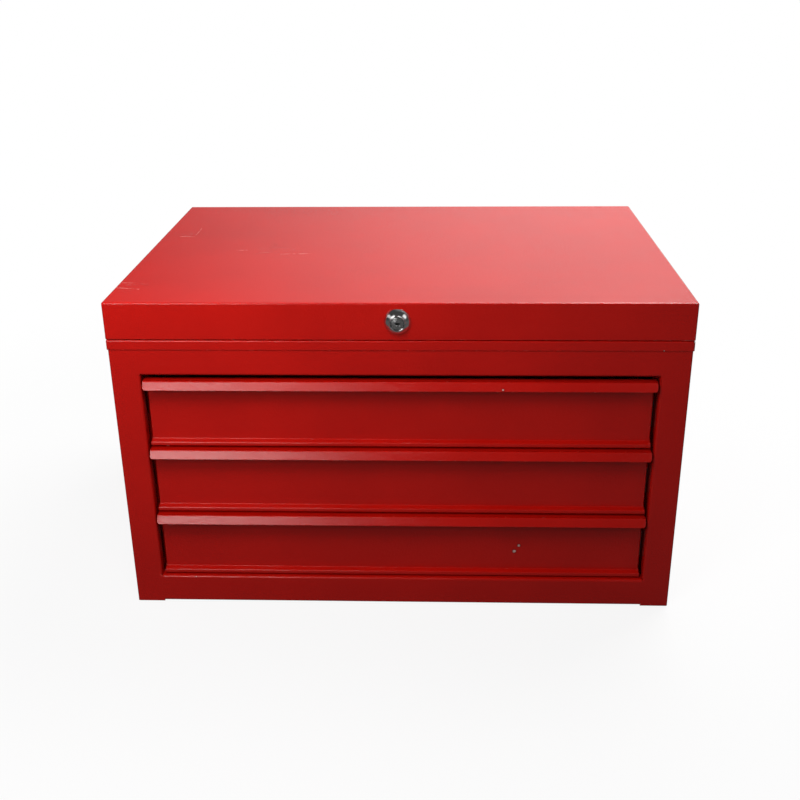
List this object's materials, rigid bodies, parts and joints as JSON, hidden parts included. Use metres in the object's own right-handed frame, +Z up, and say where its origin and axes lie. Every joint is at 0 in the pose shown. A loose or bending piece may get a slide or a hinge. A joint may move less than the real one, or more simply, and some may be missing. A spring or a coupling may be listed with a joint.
{
  "type": "portable tool box with drawers",
  "caption": "Portable folded-steel tool box with full-width sliding drawers, a lockable hinged lid over an open top tray, and a fold-down handle on each side.",
  "frame": {"origin": "centre of the footprint of the bounding box, on the floor", "axes": "+X to the right as seen from the front, +Y from front to back, +Z up; lid and drawers closed"},
  "size_m": [0.668, 0.4732, 0.379],
  "materials": {
    "red_paint": "glossy powder coat with a fine orange-peel",
    "zinc_steel": "bright zinc plating",
    "chrome": "polished",
    "spring_steel": "drawn wire"
  },
  "bodies": {
    "cabinet": {"left_side_panel": "red_paint", "left_front_upright": "red_paint", "left_rear_upright": "red_paint", "left_handle_plate": "chrome", "right_side_panel": "red_paint", "right_front_upright": "red_paint", "right_rear_upright": "red_paint", "right_handle_plate": "chrome", "front_top_rail": "red_paint", "bottom_pan": "red_paint", "back_panel": "red_paint", "top_tray": "red_paint", "hinge_body_leaf": "zinc_steel", "hinge_pin": "zinc_steel", "lock_striker": "red_paint", "drawer_lock_guides": "zinc_steel", "drawer_lock_spring": "spring_steel", "body_rivets": "zinc_steel", "bottom_left_fixed_rail": "zinc_steel", "bottom_right_fixed_rail": "zinc_steel", "middle_left_fixed_rail": "zinc_steel", "middle_right_fixed_rail": "zinc_steel", "top_left_fixed_rail": "zinc_steel", "top_right_fixed_rail": "zinc_steel"},
    "lid": {"lid_shell": "red_paint", "lid_brace": "red_paint", "hinge_lid_leaf": "zinc_steel", "lock_body": "chrome", "lock_nut": "zinc_steel", "lid_rivets": "zinc_steel", "lid_rod_presser": "zinc_steel"},
    "key_lock": {"lock_plug": "chrome", "lock_cam": "zinc_steel", "lock_cam_screw": "zinc_steel"},
    "stay_lower_links": {"left_stay_lower_link": "zinc_steel", "right_stay_lower_link": "zinc_steel"},
    "stay_upper_links": {"left_stay_upper_link": "zinc_steel", "right_stay_upper_link": "zinc_steel"},
    "left_bail": {"left_handle_bail": "chrome"},
    "right_bail": {"right_handle_bail": "chrome"},
    "lock_rod": {"drawer_lock_rod": "zinc_steel"},
    "bottom_drawer": {"bottom_drawer_front": "red_paint", "bottom_drawer_tray": "red_paint", "bottom_left_drawer_rail": "zinc_steel", "bottom_right_drawer_rail": "zinc_steel"},
    "bottom_middle_rails": {"bottom_left_middle_rail": "zinc_steel", "bottom_right_middle_rail": "zinc_steel"},
    "middle_drawer": {"middle_drawer_front": "red_paint", "middle_drawer_tray": "red_paint", "middle_left_drawer_rail": "zinc_steel", "middle_right_drawer_rail": "zinc_steel"},
    "middle_middle_rails": {"middle_left_middle_rail": "zinc_steel", "middle_right_middle_rail": "zinc_steel"},
    "top_drawer": {"top_drawer_front": "red_paint", "top_drawer_tray": "red_paint", "top_left_drawer_rail": "zinc_steel", "top_right_drawer_rail": "zinc_steel"},
    "top_middle_rails": {"top_left_middle_rail": "zinc_steel", "top_right_middle_rail": "zinc_steel"}
  },
  "joints": [
    {"name": "lid_hinge", "type": "hinge", "parent": "cabinet", "child": "lid", "pos_m": [0, 0.2341, 0.3366], "axis": [-1, 0, 0], "range_deg": [0, 100]},
    {"name": "stay_lower_pivot", "type": "hinge", "parent": "cabinet", "child": "stay_lower_links", "pos_m": [0, 0.1881, 0.3086], "axis": [-1, 0, 0], "range_deg": [0, 100]},
    {"name": "stay_upper_pivot", "type": "hinge", "parent": "lid", "child": "stay_upper_links", "pos_m": [0, 0.1881, 0.3646], "axis": [-1, 0, 0], "range_deg": [-100, 0]},
    {"name": "key_turn", "type": "hinge", "parent": "lid", "child": "key_lock", "pos_m": [0, -0.221, 0.3581], "axis": [0, 1, 0], "range_deg": [0, 90]},
    {"name": "left_bail_pivot", "type": "hinge", "parent": "cabinet", "child": "left_bail", "pos_m": [-0.329, 0.00155, 0.216], "axis": [0, 1, 0], "range_deg": [0, 90]},
    {"name": "right_bail_pivot", "type": "hinge", "parent": "cabinet", "child": "right_bail", "pos_m": [0.329, 0.00155, 0.216], "axis": [0, -1, 0], "range_deg": [0, 90]},
    {"name": "lock_rod_slide", "type": "slide", "parent": "cabinet", "child": "lock_rod", "axis": [0, 0, 1], "range_m": [-0.008, 0], "stiffness_N_per_m": 300, "springref_m": 0.01, "deforming": ["drawer_lock_spring"]},
    {"name": "bottom_drawer_slide", "type": "slide", "parent": "cabinet", "child": "bottom_drawer", "axis": [0, -1, 0], "range_m": [0, 0.37]},
    {"name": "bottom_middle_rail_slide", "type": "slide", "parent": "cabinet", "child": "bottom_middle_rails", "axis": [0, -1, 0], "range_m": [0, 0.185]},
    {"name": "middle_drawer_slide", "type": "slide", "parent": "cabinet", "child": "middle_drawer", "axis": [0, -1, 0], "range_m": [0, 0.37]},
    {"name": "middle_middle_rail_slide", "type": "slide", "parent": "cabinet", "child": "middle_middle_rails", "axis": [0, -1, 0], "range_m": [0, 0.185]},
    {"name": "top_drawer_slide", "type": "slide", "parent": "cabinet", "child": "top_drawer", "axis": [0, -1, 0], "range_m": [0, 0.37]},
    {"name": "top_middle_rail_slide", "type": "slide", "parent": "cabinet", "child": "top_middle_rails", "axis": [0, -1, 0], "range_m": [0, 0.185]}
  ],
  "couplings": [
    {"joint": "stay_lower_pivot", "follows": "lid_hinge", "ratio": 1},
    {"joint": "stay_upper_pivot", "follows": "lid_hinge", "ratio": -1},
    {"joint": "bottom_middle_rail_slide", "follows": "bottom_drawer_slide", "ratio": 0.5},
    {"joint": "middle_middle_rail_slide", "follows": "middle_drawer_slide", "ratio": 0.5},
    {"joint": "top_middle_rail_slide", "follows": "top_drawer_slide", "ratio": 0.5}
  ]
}
